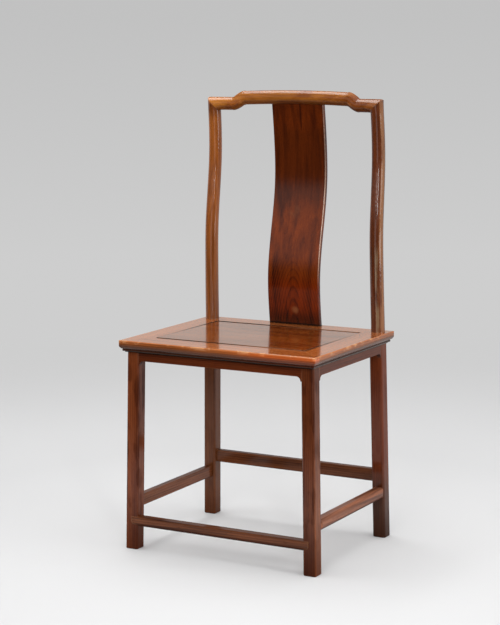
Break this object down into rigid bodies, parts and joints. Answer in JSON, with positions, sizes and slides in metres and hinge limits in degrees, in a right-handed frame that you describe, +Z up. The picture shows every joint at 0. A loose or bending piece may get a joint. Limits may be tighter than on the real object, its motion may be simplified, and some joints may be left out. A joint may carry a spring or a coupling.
{
  "type": "side chair",
  "caption": "Hardwood side chair with a flat framed seat, a bent back splat, round back posts, a stepped crest rail and square splayed legs with stretchers.",
  "frame": {"origin": "on the floor, under the middle of the chair's overall box", "axes": "+X to the right seen from the front, +Y from the front of the seat to the back, +Z up"},
  "size_m": [0.513, 0.4328, 1.0661],
  "materials": {
    "leg_wood": "polished",
    "seat_wood": "polished",
    "splat_wood": "polished",
    "crest_wood": "polished",
    "batten_wood": "raw"
  },
  "bodies": {
    "root": {"front_leg_left": "leg_wood", "front_leg_right": "leg_wood", "rear_leg_post_left": "leg_wood", "rear_leg_post_right": "leg_wood", "seat_rail_front": "seat_wood", "seat_rail_rear": "seat_wood", "seat_rail_left": "seat_wood", "seat_rail_right": "seat_wood", "seat_panel": "seat_wood", "seat_batten_left": "batten_wood", "seat_batten_right": "batten_wood", "apron_front": "leg_wood", "apron_rear": "leg_wood", "apron_left": "leg_wood", "apron_right": "leg_wood", "stretcher_front": "leg_wood", "stretcher_rear": "leg_wood", "stretcher_left": "leg_wood", "stretcher_right": "leg_wood", "splat": "splat_wood", "crest_rail": "crest_wood"}
  },
  "joints": []
}
